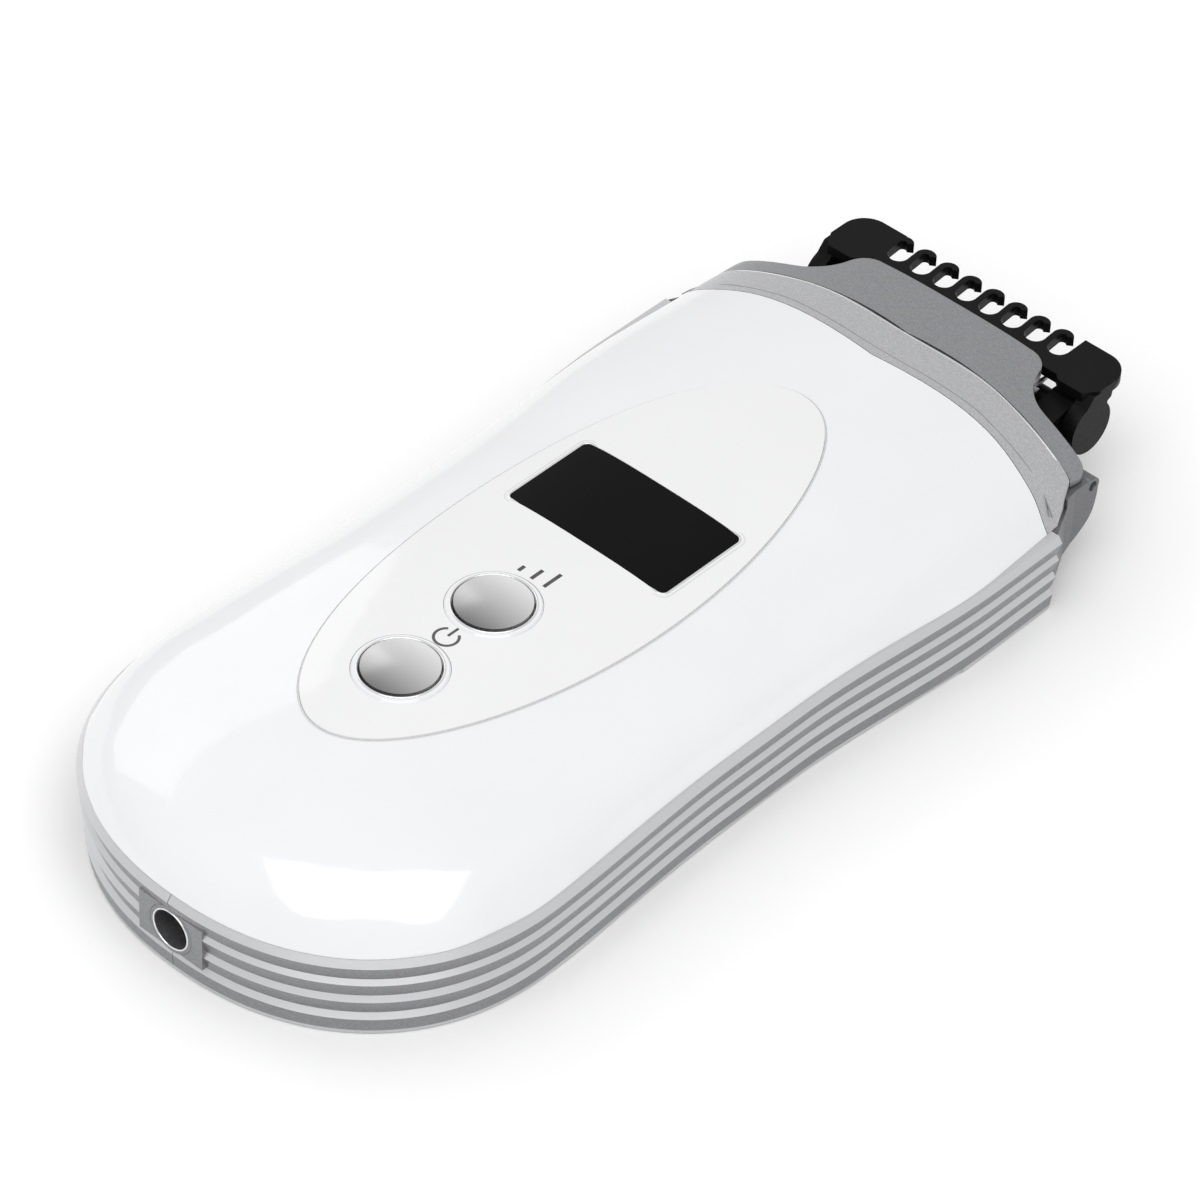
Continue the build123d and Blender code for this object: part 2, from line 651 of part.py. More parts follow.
# ---- Comb unit ------------------------------------------------------------------------------------------------
with BuildPart() as comb_carrier:
    for arm_sign in (-1, 1):
        with BuildSketch(Plane.YZ.offset(arm_sign * ARM_INNER)):
            with BuildLine():
                Polyline(
                    (56, 11.8), (56, 15.6), (68, 15.9), (PIVOT_Y, PIVOT_Z + 3.3),
                    (PIVOT_Y, PIVOT_Z - 3.3), (68, 10.9), close=True,
                )
            make_face()
            with Locations((PIVOT_Y, PIVOT_Z)):
                Circle(3.3)
                Circle(PIVOT_R + 0.02, mode=Mode.SUBTRACT)
        extrude(amount=arm_sign * (ARM_OUTER - ARM_INNER))
    box_between((-ARM_INNER, 67.4, 10.9), (ARM_INNER, 69.4, 13.4))
write(comb_carrier, "comb_carrier")

with BuildPart() as comb_pivot:
    rod(Plane.YZ.offset(-24.5), (PIVOT_Y, PIVOT_Z), PIVOT_R, 49)
write(comb_pivot, "comb_pivot")

with BuildPart() as tilt_spring:
    rod(Plane.YZ.offset(8), (PIVOT_Y, PIVOT_Z), 2.5, 6)
    rod(Plane.YZ.offset(8), (PIVOT_Y, PIVOT_Z), PIVOT_R + 0.03, 6, Mode.SUBTRACT)
write(tilt_spring, "tilt_spring")


def hook_line(root_x):
    """Centre line of one hook: a leaning stem and a crook that curls to the right."""
    stem = Line((root_x, 76.0), (root_x - 0.3, 80.4))
    ThreePointArc(stem @ 1, (root_x + 0.35, 81.5), (root_x + 1.7, 81.1))


def end_block(near_x, far_x):
    """Plan of the comb's solid end from near_x out to far_x, with a large round corner in front."""
    out = 1 if far_x > 0 else -1
    bend = COMB_CORNER * (1 - sqrt(0.5))
    with BuildSketch() as plan:
        with BuildLine():
            front = Line((near_x, COMB_FRONT_Y), (far_x - out * COMB_CORNER, COMB_FRONT_Y))
            corner = ThreePointArc(
                front @ 1, (far_x - out * bend, COMB_FRONT_Y - bend), (far_x, COMB_FRONT_Y - COMB_CORNER)
            )
            side = Line(corner @ 1, (far_x, 75.0))
            heel = Line(side @ 1, (far_x - out * 1.5, 72.6))
            back = Line(heel @ 1, (out * 19.2, 72.6))
            step = Line(back @ 1, (out * 18.2, COMB_REAR_Y))
            rear = Line(step @ 1, (near_x, COMB_REAR_Y))
            Line(rear @ 1, front @ 0)
        make_face()
    return plan.sketch


with BuildPart() as comb:
    with BuildSketch(Plane.XY.offset(COMB_TOP_Z - COMB_THICK)):
        with Locations((0, (COMB_REAR_Y + 78) / 2)):
            Rectangle(RIGHT_BLOCK_X - LEFT_BLOCK_X + 1, 78 - COMB_REAR_Y)
        for i in range(-1, HOOK_COUNT):
            with Locations((FIRST_HOOK_X + i * HOOK_PITCH + 1.97, 78.1)):
                Circle(1.6, mode=Mode.SUBTRACT)
        for i in range(-1, HOOK_COUNT):
            with BuildLine():
                hook_line(FIRST_HOOK_X + i * HOOK_PITCH)
            trace(line_width=HOOK_WIDTH)
        add(end_block(LEFT_BLOCK_X, -COMB_HALF_WIDTH))
        add(end_block(RIGHT_BLOCK_X, COMB_HALF_WIDTH))
    extrude(amount=COMB_THICK)
    for cheek_sign in (-1, 1):
        with BuildSketch(Plane.YZ.offset(cheek_sign * (COMB_HALF_WIDTH - CHEEK_THICK))):
            with Locations((PIVOT_Y, PIVOT_Z)):
                Circle(4.2)
            with BuildLine():
                Polyline(
                    (71.0, PIVOT_Z), (71.8, 17.0), (73.6, COMB_TOP_Z - 0.4), (78.0, COMB_TOP_Z - 0.4),
                    (77.6, 17.0), (76.8, 16.6), (77.0, PIVOT_Z), close=True,
                )
            make_face()
        extrude(amount=cheek_sign * CHEEK_THICK)
    rod(Plane.YZ.offset(-24.7), (PIVOT_Y, PIVOT_Z), PIVOT_R + RUNNING_FIT, 49.4, Mode.SUBTRACT)
write(comb, "comb")

with BuildPart() as case_screws:
    for screw_x, screw_y in SCREWS:
        rod(Plane.XY.offset(0.15), (screw_x, screw_y), 2.7, 0.85)
        rod(Plane.XY.offset(1.0), (screw_x, screw_y), 1.3, 8.4)
write(case_screws, "case_screws")
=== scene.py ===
import math

import bmesh
import bpy
from mathutils import Matrix, Vector


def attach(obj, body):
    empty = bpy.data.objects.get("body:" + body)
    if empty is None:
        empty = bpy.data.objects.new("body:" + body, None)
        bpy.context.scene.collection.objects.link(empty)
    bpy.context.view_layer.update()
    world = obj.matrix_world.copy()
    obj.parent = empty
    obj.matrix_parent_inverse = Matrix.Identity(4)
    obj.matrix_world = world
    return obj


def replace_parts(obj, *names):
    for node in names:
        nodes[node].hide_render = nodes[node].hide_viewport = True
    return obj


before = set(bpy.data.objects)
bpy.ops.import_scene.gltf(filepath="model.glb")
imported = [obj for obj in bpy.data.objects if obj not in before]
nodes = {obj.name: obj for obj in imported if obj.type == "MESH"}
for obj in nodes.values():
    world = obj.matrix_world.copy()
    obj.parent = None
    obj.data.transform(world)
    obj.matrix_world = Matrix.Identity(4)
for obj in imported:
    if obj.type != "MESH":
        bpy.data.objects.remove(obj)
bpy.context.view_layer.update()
MM = 0.001

# The body's crowned top and outline, in millimetres.
CROWN_TOP = 25.2
CROWN_DROP = 8.0        # fall of the gentle part of the crown at the rim
ROLL_DROP = 3.5         # extra fall where the crown rolls over into the rim
NOSE_SLOPE = 0.075
WAIST_HALF = 33.8
FRONT_FLARE = 2.5
TAIL_FLARE = 1.6
TAIL_START_Y = -48.0
TAIL_LENGTH = 33.3
TAIL_POWER = 2.2        # a little squarer than an ellipse
BAND_FRONT_Y = 52.65

FASCIA_RAISE = 0.25     # the fascia stands this much above the crown
FASCIA_Y = -7.4
FASCIA_GROOVE = (18.725, 47.525)    # half axes of the middle of the groove round the fascia
DISPLAY_Y = 3.5
BUTTON_YS = {"level": -22.0, "power": -39.6}
LEVEL_BARS_Y = -14.8
POWER_MARK_Y = -31.0
JACK_Y, JACK_Z = -81.6, 7.45
SOCKET_R = 3.8          # hole in the band for the socket
PAD_HALF = 5.75         # flat pad on the band round the jack
PAD_Z = (4.05, 10.85)
PAD_INNER_Y = -79.2
PAD_CUT_Y = -84.0       # behind the band
SOCKET_CUT_Y = (-86.0, -70.0)       # behind the band, and inside the case
SEAM_X = 0.04           # the band's halves stop this far from the middle
OUTSIDE = 1.0           # how far a cutter reaches past what it cuts
FLOOR_DROP = 0.2        # the floor lies this far under the base
FLOOR_HALF = 3000.0


# ---- Camera, lights and world -------------------------------------------------------------------
def add_camera():
    azimuth, elevation, roll = (math.radians(a) for a in (40.893, 41.863, 2.651))
    back = Vector((
        math.sin(azimuth) * math.cos(elevation),
        -math.cos(azimuth) * math.cos(elevation),
        math.sin(elevation),
    ))
    level = Vector((math.cos(azimuth), math.sin(azimuth), 0))
    upright = back.cross(level)
    right = level * math.cos(roll) + upright * math.sin(roll)
    up = upright * math.cos(roll) - level * math.sin(roll)
    data = bpy.data.cameras.new("camera")
    data.sensor_width = 36
    data.lens = 179.6
    data.clip_start = 0.05
    data.clip_end = 20
    camera = bpy.data.objects.new("camera", data)
    bpy.context.scene.collection.objects.link(camera)
    place = Vector((0, 3.5, 25.2)) + back * 802.5 - right * 3.262 - up * 11.325
    turn = Matrix((right, up, back)).transposed()
    camera.matrix_world = Matrix.Translation(place * MM) @ turn.to_4x4()
    bpy.context.scene.camera = camera


def add_light(name, place, size, power):
    """An area light aimed near the object's middle; place and size are in metres."""
    data = bpy.data.lights.new(name, "AREA")
    data.shape = "RECTANGLE"
    data.size, data.size_y = size
    data.energy = power
    light = bpy.data.objects.new(name, data)
    light.location = place
    aim = Vector((0, 0, 0.01)) - Vector(place)
    light.rotation_euler = aim.to_track_quat("-Z", "Y").to_euler()
    bpy.context.scene.collection.objects.link(light)


def add_world(strength):
    world = bpy.data.worlds.new("studio")
    world.use_nodes = True
    background = world.node_tree.nodes["Background"]
    background.inputs["Color"].default_value = (1, 1, 1, 1)
    background.inputs["Strength"].default_value = strength
    bpy.context.scene.world = world


def ramp(t):
    """Smooth step from 0 to 1."""
    t = min(1.0, max(0.0, t))
    return t * t * (3 - 2 * t)


def body_half_width(y):
    """Half width of the body's rim at y."""
    return WAIST_HALF + FRONT_FLARE * ramp((y - 2) / 38) + TAIL_FLARE * ramp((-12 - y) / 38)


def crown_height(x, y):
    """Height of the body's crowned top over the point x, y, in millimetres."""
    tail = max(0.0, TAIL_START_Y - y) / TAIL_LENGTH
    reach = ((abs(x) / body_half_width(y)) ** TAIL_POWER + tail**TAIL_POWER) ** (1 / TAIL_POWER)
    inner = min(reach, 1.04)
    ahead = y - 30
    nose = NOSE_SLOPE * (math.sqrt(ahead**2 + 64) + ahead) / 2
    return CROWN_TOP - CROWN_DROP * inner**3 - ROLL_DROP * inner**14 - (reach - inner) * 75 - nose


def mesh_object(name, vertices, faces):
    """A mesh from points in millimetres."""
    mesh = bpy.data.meshes.new(name)
    mesh.from_pydata([Vector(v) * MM for v in vertices], [], faces)
    mesh.validate()
    mesh.polygons.foreach_set("use_smooth", [True] * len(mesh.polygons))
    made = bpy.data.objects.new(name, mesh)
    bpy.context.scene.collection.objects.link(made)
    return made


def square_up(thing):
    """Turns every face outwards."""
    work = bmesh.new()
    work.from_mesh(thing.data)
    bmesh.ops.recalc_face_normals(work, faces=work.faces)
    work.to_mesh(thing.data)
    work.free()


def swept_faces(count, width, closed):
    """Faces that join count copies of a section of width points, one after another."""
    faces = []
    for i in range(count if closed else count - 1):
        here, there = i * width, (i + 1) % count * width
        for k in range(width):
            after = (k + 1) % width
            faces.append((here + k, here + after, there + after, there + k))
    if not closed:
        faces.append(tuple(range(width)))
        faces.append(tuple(reversed(range((count - 1) * width, count * width))))
    return faces


# ---- Materials ----------------------------------------------------------------------------------
def new_material(name):
    material = bpy.data.materials.new(name)
    material.use_nodes = True
    return material, material.node_tree, material.node_tree.nodes["Principled BSDF"]


def texture(tree, kind, scale, stretch=(1, 1, 1), centre=(0, 0, 0)):
    """A procedural texture in the object's own coordinates, in metres."""
    place = tree.nodes.new("ShaderNodeTexCoord")
    mapping = tree.nodes.new("ShaderNodeMapping")
    mapping.vector_type = "TEXTURE"
    mapping.inputs["Location"].default_value = [c * MM for c in centre]
    mapping.inputs["Scale"].default_value = stretch
    pattern = tree.nodes.new(kind)
    pattern.inputs["Scale"].default_value = scale
    tree.links.new(place.outputs["Object"], mapping.inputs["Vector"])
    tree.links.new(mapping.outputs["Vector"], pattern.inputs["Vector"])
    return pattern


def blend_tones(tree, shader, factor, dark, light):
    mix = tree.nodes.new("ShaderNodeMix")
    mix.data_type = "RGBA"
    mix.inputs["A"].default_value = (*dark, 1)
    mix.inputs["B"].default_value = (*light, 1)
    tree.links.new(factor, mix.inputs["Factor"])
    tree.links.new(mix.outputs["Result"], shader.inputs["Base Color"])
    return mix.outputs["Result"]


def spread(tree, shader, factor, socket, low, high):
    mapped = tree.nodes.new("ShaderNodeMapRange")
    mapped.inputs["From Min"].default_value = 0.3
    mapped.inputs["From Max"].default_value = 0.7
    mapped.inputs["To Min"].default_value = low
    mapped.inputs["To Max"].default_value = high
    tree.links.new(factor, mapped.inputs["Value"])
    tree.links.new(mapped.outputs["Result"], shader.inputs[socket])


def raise_bumps(tree, shader, height, strength, depth_mm):
    bump = tree.nodes.new("ShaderNodeBump")
    bump.inputs["Strength"].default_value = strength
    bump.inputs["Distance"].default_value = depth_mm * MM
    tree.links.new(height, bump.inputs["Height"])
    tree.links.new(bump.outputs["Normal"], shader.inputs["Normal"])


def moulded(name, dark, light, gloss, grain=1.0, bump=0.2, depth=0.01, stretch=(1, 1, 1), **values):
    """A surface whose tone, roughness and height vary with a noise of the given grain in mm."""
    material, tree, shader = new_material(name)
    noise = texture(tree, "ShaderNodeTexNoise", 1 / (grain * MM), stretch)
    noise.inputs["Detail"].default_value = 3
    broad = texture(tree, "ShaderNodeTexNoise", 60)
    blend_tones(tree, shader, broad.outputs["Fac"], dark, light)
    spread(tree, shader, noise.outputs["Fac"], "Roughness", *gloss)
    raise_bumps(tree, shader, noise.outputs["Fac"], bump, depth)
    for socket, value in values.items():
        shader.inputs[socket.replace("_", " ")].default_value = value
    return material


def flaked(name, dark, light, gloss, flake=0.12, lit_tone=None, **values):
    """Silver-filled plastic: tiny flakes, and, where a lit tone is given, painted light: faces that slope
    up are made paler for the light falling on them from above.
    """
    material, tree, shader = new_material(name)
    flakes = texture(tree, "ShaderNodeTexVoronoi", 1 / (flake * MM))
    grey = tree.nodes.new("ShaderNodeSeparateColor")
    tree.links.new(flakes.outputs["Color"], grey.inputs["Color"])
    tone = blend_tones(tree, shader, grey.outputs["Red"], dark, light)
    # Painted light: the more a face's normal points up, the more its colour is blended towards the paler
    # lit tone.
    if lit_tone:
        facing = tree.nodes.new("ShaderNodeNewGeometry")
        upward = tree.nodes.new("ShaderNodeSeparateXYZ")
        tree.links.new(facing.outputs["Normal"], upward.inputs["Vector"])
        lit_from_above = tree.nodes.new("ShaderNodeMapRange")
        lit_from_above.inputs["From Min"].default_value = 0.1
        lit_from_above.inputs["From Max"].default_value = 0.5
        tree.links.new(upward.outputs["Z"], lit_from_above.inputs["Value"])
        painted_top_light = tree.nodes.new("ShaderNodeMix")
        painted_top_light.data_type = "RGBA"
        painted_top_light.inputs["B"].default_value = (*lit_tone, 1)
        tree.links.new(lit_from_above.outputs["Result"], painted_top_light.inputs["Factor"])
        tree.links.new(tone, painted_top_light.inputs["A"])
        tree.links.new(painted_top_light.outputs["Result"], shader.inputs["Base Color"])
    spread(tree, shader, grey.outputs["Green"], "Roughness", *gloss)
    raise_bumps(tree, shader, grey.outputs["Blue"], 0.06, 0.01)
    for socket, value in values.items():
        shader.inputs[socket.replace("_", " ")].default_value = value
    return material


def spun(name, centre_y):
    """Metal disc with fine turned rings, and a painted reflection: paler towards the comb, for the bright
    surroundings the disc's far side mirrors.
    """
    material, tree, shader = new_material(name)
    rings = texture(tree, "ShaderNodeTexWave", 2600, (1, 1, 1), (0, centre_y, 0))
    rings.wave_type = "RINGS"
    rings.rings_direction = "Z"
    rings.inputs["Distortion"].default_value = 0.6
    place = tree.nodes.new("ShaderNodeTexCoord")
    along = tree.nodes.new("ShaderNodeSeparateXYZ")
    tree.links.new(place.outputs["Object"], along.inputs["Vector"])
    painted_reflection_ramp = tree.nodes.new("ShaderNodeMapRange")
    painted_reflection_ramp.inputs["From Min"].default_value = (centre_y - 5) * MM
    painted_reflection_ramp.inputs["From Max"].default_value = (centre_y + 5) * MM
    tree.links.new(along.outputs["Y"], painted_reflection_ramp.inputs["Value"])
    # Painted reflection: the base colour is blended from dark grey to white across the disc.
    blend_tones(tree, shader, painted_reflection_ramp.outputs["Result"], (0.26, 0.26, 0.265), (1.0, 1.0, 1.0))
    spread(tree, shader, rings.outputs["Fac"], "Roughness", 0.16, 0.26)
    raise_bumps(tree, shader, rings.outputs["Fac"], 0.05, 0.004)
    shader.inputs["Metallic"].default_value = 0.9
    return material


def circuit(name):
    """Green solder mask with darker tracks and a fine weave."""
    material, tree, shader = new_material(name)
    tracks = texture(tree, "ShaderNodeTexBrick", 220)
    tracks.inputs["Color1"].default_value = (0.02, 0.16, 0.07, 1)
    tracks.inputs["Color2"].default_value = (0.03, 0.21, 0.10, 1)
    tracks.inputs["Mortar"].default_value = (0.05, 0.30, 0.15, 1)
    tracks.inputs["Mortar Size"].default_value = 0.06
    tree.links.new(tracks.outputs["Color"], shader.inputs["Base Color"])
    weave = texture(tree, "ShaderNodeTexNoise", 3000)
    spread(tree, shader, weave.outputs["Fac"], "Roughness", 0.25, 0.4)
    raise_bumps(tree, shader, tracks.outputs["Fac"], 0.3, 0.03)
    return material


WHITE = moulded(
    "white_gloss", (0.755, 0.76, 0.77), (0.80, 0.805, 0.815), (0.10, 0.16), 1.4, 0.05, 0.004,
    Coat_Weight=0.7, Coat_Roughness=0.04,
)
FASCIA = moulded(
    "fascia_gloss", (0.76, 0.762, 0.768), (0.79, 0.792, 0.798), (0.06, 0.10), 1.4, 0.04, 0.004,
    Coat_Weight=0.8, Coat_Roughness=0.03,
)
# Silver band; its upward-sloping rib ledges get painted light, a paler tone for the light falling on them
# from above.
BAND = flaked(
    "band_silver", (0.22, 0.222, 0.232), (0.32, 0.322, 0.332), (0.30, 0.42),
    lit_tone=(0.66, 0.665, 0.68), Metallic=0.8,
)
SOCKET = flaked("socket_silver", (0.20, 0.202, 0.212), (0.30, 0.302, 0.312), (0.30, 0.42), Metallic=0.8)
COLLAR = flaked("collar_silver", (0.44, 0.443, 0.457), (0.60, 0.603, 0.617), (0.30, 0.40), Metallic=0.7)
CAP = flaked("cap_silver", (0.26, 0.263, 0.277), (0.36, 0.363, 0.377), (0.32, 0.44), Metallic=0.75)
JAW = flaked("jaw_grey", (0.13, 0.132, 0.138), (0.18, 0.182, 0.188), (0.34, 0.46), Metallic=0.6)
# Near-white metal for thin rims; round the display and along the collar seam it is a painted highlight.
BRIGHT = flaked("bright_rim", (0.74, 0.74, 0.75), (0.88, 0.88, 0.89), (0.12, 0.22), 0.05, Metallic=0.9)
BASE = moulded("base_grey", (0.50, 0.505, 0.51), (0.56, 0.565, 0.57), (0.42, 0.55), 0.5, 0.35, 0.02)
BLACK = moulded(
    "black_satin", (0.003, 0.003, 0.0033), (0.006, 0.006, 0.0064), (0.30, 0.44), 0.35, 0.25, 0.012,
    Specular_IOR_Level=0.1,
)
DISPLAY = moulded(
    "display_black", (0.0015, 0.0015, 0.002), (0.004, 0.004, 0.0045), (0.05, 0.09), 6.0, 0.02, 0.002,
    Specular_IOR_Level=0.08,
)
INK = moulded("ink_grey", (0.05, 0.05, 0.053), (0.09, 0.09, 0.094), (0.35, 0.5), 0.2, 0.1, 0.004)
# Dark grey for the collar groove: painted shade.
COLLAR_GROOVE_SHADE = moulded("collar_groove_shade", (0.20, 0.20, 0.205), (0.28, 0.28, 0.285), (0.4, 0.5), 0.4, 0.1, 0.004)
# Greyer white for fine grooves and lines; in the groove round the fascia it is painted shade.
GROOVE = moulded("groove_white", (0.62, 0.622, 0.63), (0.68, 0.682, 0.69), (0.3, 0.4), 0.8, 0.1, 0.004)
INNER_WHITE = moulded("inner_white", (0.72, 0.72, 0.70), (0.80, 0.80, 0.78), (0.40, 0.55), 0.6, 0.2, 0.01)
INNER_DARK = moulded("inner_dark", (0.04, 0.04, 0.043), (0.07, 0.07, 0.073), (0.40, 0.55), 0.5, 0.3, 0.015)
CHIP = moulded("chip_black", (0.012, 0.012, 0.013), (0.025, 0.025, 0.027), (0.5, 0.7), 0.15, 0.4, 0.01)
WRAP = moulded("cell_wrap", (0.02, 0.08, 0.28), (0.03, 0.11, 0.36), (0.18, 0.30), 2.5, 0.2, 0.03)
NICKEL = moulded(
    "nickel", (0.55, 0.54, 0.51), (0.64, 0.63, 0.60), (0.22, 0.34), 0.4, 0.15, 0.006, Metallic=1.0,
)
STEEL = moulded(
    "steel", (0.50, 0.50, 0.52), (0.60, 0.60, 0.62), (0.24, 0.40), 0.25, 0.2, 0.006, (1, 12, 1),
    Metallic=1.0,
)
GREEN = circuit("circuit_green")
BUTTON_METAL = {name: spun(f"{name}_button_metal", y) for name, y in BUTTON_YS.items()}

FINISHES = {
    "top_cover": WHITE, "control_fascia": FASCIA, "head_collar": COLLAR, "display_window": DISPLAY,
    "button_rings": WHITE, "level_button": BUTTON_METAL["level"], "power_button": BUTTON_METAL["power"],
    "level_plunger": INNER_DARK, "power_plunger": INNER_DARK, "tact_switches": NICKEL,
    "main_board": GREEN, "display_frame": INNER_WHITE, "display_module": CHIP, "driver_chips": CHIP,
    "battery_cells": WRAP, "battery_tabs": NICKEL, "charging_socket": SOCKET, "socket_pin": NICKEL,
    "left_band": BAND, "right_band": BAND, "bottom_cover": BASE, "case_screws": STEEL,
    "head_cap": CAP, "head_jaw": JAW, "fixed_blade": STEEL, "moving_blade": STEEL,
    "blade_carrier": INNER_WHITE, "blade_holder": INNER_DARK, "blade_screws": STEEL, "motor": STEEL,
    "motor_shaft": STEEL, "cam": INNER_WHITE, "drive_lever": INNER_WHITE, "lever_pin": STEEL,
    "drive_frame": INNER_DARK, "comb_carrier": BLACK, "comb_pivot": BLACK, "tilt_spring": STEEL,
    "comb": BLACK,
}


def paint(thing, material):
    thing.data.materials.clear()
    thing.data.materials.append(material)


for node_name, finish in FINISHES.items():
    paint(nodes[node_name], finish)


def soften(node_name, width_mm):
    """Rounds a CAD node's hard edges with modifiers."""
    thing = nodes[node_name]
    weld = thing.modifiers.new("weld", "WELD")
    weld.merge_threshold = 0.002 * MM
    bevel = thing.modifiers.new("bevel", "BEVEL")
    bevel.width = width_mm * MM
    bevel.segments = 2
    bevel.limit_method = "ANGLE"
    bevel.angle_limit = math.radians(35)
    bevel.harden_normals = True


# ---- Ribbed band ---------------------------------------------------------------------------------
# Section of the band: distance outside the rim, and height. Each rib leans out and slopes back in.
RIB_PROFILE = [
    (-0.2, 0.62), (0.1, 2.8), (-0.5, 3.6), (0.3, 6.1), (-0.25, 6.9), (0.55, 9.4), (0.0, 10.1),
    (0.8, 12.6), (0.1, 13.58), (-2.5, 13.58), (-2.5, 0.62),
]


def rim_point(t, out):
    """A point on the body's outline moved out: the front at t 0, the tail from t 1 to its middle at 2."""
    if t <= 1:
        y = BAND_FRONT_Y + (TAIL_START_Y - BAND_FRONT_Y) * t
        return (body_half_width(y) + out, y)
    turn = (t - 1) * math.pi / 2
    painted_reflection_ramp = math.cos(turn) ** (2 / TAIL_POWER)
    down = math.sin(turn) ** (2 / TAIL_POWER)
    return (
        (body_half_width(TAIL_START_Y) + out) * painted_reflection_ramp,
        TAIL_START_Y - (TAIL_LENGTH + out) * down,
    )


def cut(thing, low, high, operation):
    """Joins a box to a mesh or takes it away."""
    corners = [
        (x, y, z) for x in (low[0], high[0]) for y in (low[1], high[1]) for z in (low[2], high[2])
    ]
    faces = [(0, 1, 3, 2), (4, 6, 7, 5), (0, 4, 5, 1), (2, 3, 7, 6), (0, 2, 6, 4), (1, 5, 7, 3)]
    shape_with(thing, mesh_object("cutter", corners, faces), operation)


def shape_with(thing, cutter, operation):
    """Joins the cutter to a mesh or cuts it away, and then deletes the cutter."""
    square_up(cutter)
    change = thing.modifiers.new("cut", "BOOLEAN")
    change.operation = operation
    change.solver = "EXACT"
    change.object = cutter
    bpy.context.view_layer.update()
    evaluated = thing.evaluated_get(bpy.context.evaluated_depsgraph_get())
    shaped = bpy.data.meshes.new_from_object(evaluated)
    thing.modifiers.remove(change)
    thing.data = shaped
    bpy.data.objects.remove(cutter)


def round_bar(radius, low_y, high_y):
    """A closed bar along the jack's axis."""
    sides = 48
    turns = [2 * math.pi * i / sides for i in range(sides)]
    vertices = [
        (radius * math.cos(t), y, JACK_Z + radius * math.sin(t)) for y in (low_y, high_y) for t in turns
    ]
    return mesh_object("cutter", vertices, swept_faces(2, sides, closed=False))


def ribbed_band(name, side):
    """Half of the band, swept along the rim, with the pad and hole for the charging socket."""
    steps = 60
    stops = [i / steps for i in range(steps + 1)] + [1 + i / steps for i in range(1, steps)]
    vertices = []
    for t in stops:
        for out, z in RIB_PROFILE:
            x, y = rim_point(t, out)
            vertices.append((side * max(x, SEAM_X), y, z))
    for out, z in RIB_PROFILE:
        vertices.append((side * SEAM_X, TAIL_START_Y - TAIL_LENGTH - out, z))
    band = mesh_object(name, vertices, swept_faces(len(stops) + 1, len(RIB_PROFILE), closed=False))
    square_up(band)
    near, far = sorted((side * SEAM_X, side * PAD_HALF))
    low_z, high_z = PAD_Z
    cut(band, (near, JACK_Y, low_z), (far, PAD_INNER_Y, high_z), "UNION")
    cut(band, (near - OUTSIDE, PAD_CUT_Y, low_z), (far + OUTSIDE, JACK_Y, high_z), "DIFFERENCE")
    shape_with(band, round_bar(SOCKET_R, *SOCKET_CUT_Y), "DIFFERENCE")
    band.data.polygons.foreach_set("use_smooth", [True] * len(band.data.polygons))
    band.data.set_sharp_from_angle(angle=math.radians(20))
    paint(band, BAND)
    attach(band, "housing")
    return band


for side_name, side in (("left", -1), ("right", 1)):
    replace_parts(ribbed_band(f"{side_name}_ribbed_band", side), f"{side_name}_band")


# ---- Trim on the crown and round the jack -------------------------------------------------------
def smooth_path(points, steps=6):
    """A curve through points that run out from the middle, mirrored to the other side."""
    ends = [(-points[1][0], points[1][1])] + points
    ends.append((2 * points[-1][0] - points[-2][0], 2 * points[-1][1] - points[-2][1]))
    right = []
    for before, start, end, after in zip(ends, ends[1:], ends[2:], ends[3:]):
        for step in range(steps):
            t = step / steps
            right.append(tuple(
                b + (t * (c - a) + t**2 * (2 * a - 5 * b + 4 * c - d) + t**3 * (3 * b - a - 3 * c + d)) / 2
                for a, b, c, d in zip(before, start, end, after)
            ))
    right.append(points[-1])
    return [(-x, y) for x, y in reversed(right[1:])] + right


def arc(centre, radius, start, end, steps):
    """Points on a circle from one angle to another, in degrees."""
    turns = [math.radians(start + (end - start) * i / steps) for i in range(steps + 1)]
    return [(centre[0] + radius * math.cos(t), centre[1] + radius * math.sin(t)) for t in turns]


def rounded_frame(half_x, half_y, radius):
    """A rectangle with round corners about the display's middle."""
    path = []
    for sign_x, sign_y, start in ((1, 1, 0), (-1, 1, 90), (-1, -1, 180), (1, -1, 270)):
        corner = (sign_x * (half_x - radius), DISPLAY_Y + sign_y * (half_y - radius))
        path += arc(corner, radius, start, start + 90, 6)
    return path


# Sections of a strip: sideways as a share of its half width, and up as a share of its height.
ROUND = [(-1, -1), (-0.85, 0.55), (-0.45, 0.9), (0, 1), (0.45, 0.9), (0.85, 0.55), (1, -1)]
FLAT = [(-1, -1), (-1, 0.8), (-0.7, 1), (0.7, 1), (1, 0.8), (1, -1)]


def bead(name, path, half, proud, material, closed=False, lift=0.0, profile=ROUND, sunk=0.2):
    """A fine strip along a path on the crown, rising proud of it and reaching sunk into it."""
    count = len(path)
    vertices = []
    for i, (x, y) in enumerate(path):
        before = path[i - 1] if closed or i else path[i]
        after = path[(i + 1) % count] if closed or i < count - 1 else path[i]
        along = Vector((after[0] - before[0], after[1] - before[1])).normalized()
        for side, height in profile:
            px, py = x - along.y * side * half, y + along.x * side * half
            rise = proud * height if height > 0 else -sunk
            vertices.append((px, py, crown_height(px, py) + lift + rise))
    made = mesh_object(name, vertices, swept_faces(count, len(profile), closed))
    square_up(made)
    paint(made, material)
    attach(made, "housing")


def turned(name, profile, place, material, steps=96):
    """A ring from (radius, height) points turned about an upright or a lengthwise axis."""
    vertices = []
    for i in range(steps):
        turn = 2 * math.pi * i / steps
        for radius, height in profile:
            vertices.append(place(radius * math.cos(turn), radius * math.sin(turn), height))
    made = mesh_object(name, vertices, swept_faces(steps, len(profile), closed=True))
    square_up(made)
    paint(made, material)
    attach(made, "housing")


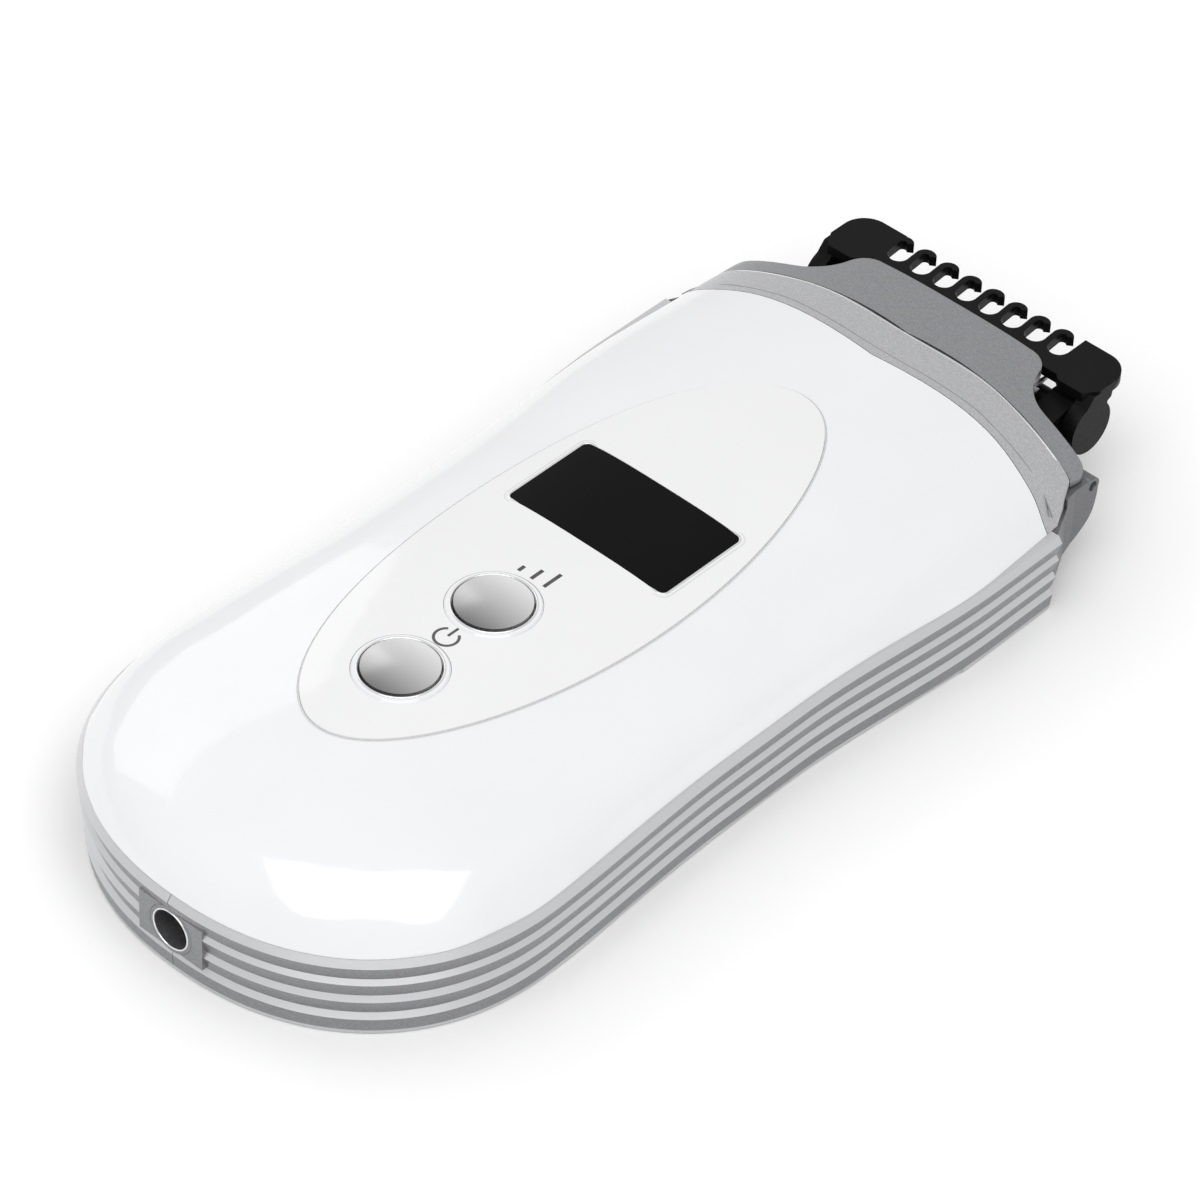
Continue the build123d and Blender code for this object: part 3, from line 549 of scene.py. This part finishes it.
on_fascia = {"lift": FASCIA_RAISE}
printed = {"lift": FASCIA_RAISE, "profile": FLAT}
# Painted highlight: a bright strip round the display window for the light its edge catches.
bead("display_rim_highlight", rounded_frame(14.3, 8.05, 1.1), 0.17, 0.09, BRIGHT, closed=True, **on_fascia)
bead("display_outer_rim", rounded_frame(14.85, 8.6, 1.5), 0.09, 0.03, GROOVE, closed=True, **on_fascia)
oval_turns = [2 * math.pi * i / 160 for i in range(160)]
fascia_edge = [
    (FASCIA_GROOVE[0] * math.cos(t), FASCIA_Y + FASCIA_GROOVE[1] * math.sin(t)) for t in oval_turns
]
# Painted shade: the sunk strip in the groove round the fascia is a greyer white, for the shade in the gap.
bead("fascia_groove", fascia_edge, 0.17, -0.12, GROOVE, closed=True, sunk=0.7)
# Painted shade: a dark grey strip along the collar's groove, for the shade that falls in it.
collar_groove = [(0, 56.4), (8.4, 56.7), (16.7, 56.8), (21.4, 56.2), (28.7, 55.1), (34.2, 53.6)]
bead("collar_groove", smooth_path(collar_groove), 0.08, 0.03, COLLAR_GROOVE_SHADE)
# Painted highlight: a bright strip along the collar's seam, for the light its edge catches.
seam_edge = [(0, 62.0), (14, 62.2), (23.6, 60.9), (31.6, 59.6)]
bead("collar_seam_highlight", smooth_path(seam_edge), 0.13, 0.06, BRIGHT)
for index, bar_x in enumerate((-2.3, 0.0, 2.3)):
    bar = [(bar_x, LEVEL_BARS_Y), (bar_x, LEVEL_BARS_Y + 1.2 + 1.1 * index)]
    bead(f"level_bar_{index + 1}", bar, 0.28, 0.03, INK, **printed)
bead("power_mark_ring", arc((0, POWER_MARK_Y), 1.7, 125, 415, 36), 0.2, 0.03, INK, **printed)
bead("power_mark_bar", [(0, POWER_MARK_Y + 0.3), (0, POWER_MARK_Y + 2.3)], 0.2, 0.03, INK, **printed)

# Rings from (radius, height) points: round each button, and round the jack's mouth.
LIP = [
    (5.63, 25.3), (5.63, 25.64), (5.7, 25.74), (5.82, 25.76), (5.94, 25.7), (5.98, 25.58), (5.98, 25.3),
]
for button_name, button_y in BUTTON_YS.items():
    turned(f"{button_name}_button_lip", LIP, lambda x, y, h, at=button_y: (x, at + y, h), BRIGHT)
JACK_RIM = [(2.97, -0.4), (2.98, 0.06), (3.05, 0.12), (3.15, 0.12), (3.22, 0.05), (3.24, -0.4)]
turned("jack_rim", JACK_RIM, lambda x, y, h: (x, JACK_Y - h, JACK_Z + y), BRIGHT)

# Radius of the rounding on each node's edges, in millimetres.
SOFTENED = {
    "comb": 0.28, "comb_carrier": 0.35, "comb_pivot": 0.2, "head_jaw": 0.25, "bottom_cover": 0.15,
    "case_screws": 0.2, "motor": 0.4, "battery_cells": 0.5, "driver_chips": 0.1, "drive_lever": 0.2,
    "blade_holder": 0.2,
}
for node_name, width in SOFTENED.items():
    soften(node_name, width)

# ---- Studio --------------------------------------------------------------------------------------
add_camera()
bpy.context.scene.view_settings.view_transform = "Standard"
add_world(0.73)
add_light("key", (0.30, -0.35, 0.85), (1.1, 0.8), 5)
add_light("rim", (-0.8, 0.1, 0.5), (0.9, 0.6), 1.2)

floor_corners = [
    (-FLOOR_HALF, -FLOOR_HALF, 0), (FLOOR_HALF, -FLOOR_HALF, 0),
    (FLOOR_HALF, FLOOR_HALF, 0), (-FLOOR_HALF, FLOOR_HALF, 0),
]
floor = mesh_object("floor", floor_corners, [(0, 1, 2, 3)])
floor.location.z = -FLOOR_DROP * MM
paint(floor, moulded("floor", (0.93, 0.93, 0.93), (0.95, 0.95, 0.95), (0.7, 0.8), 20, 0.02, 0.01))
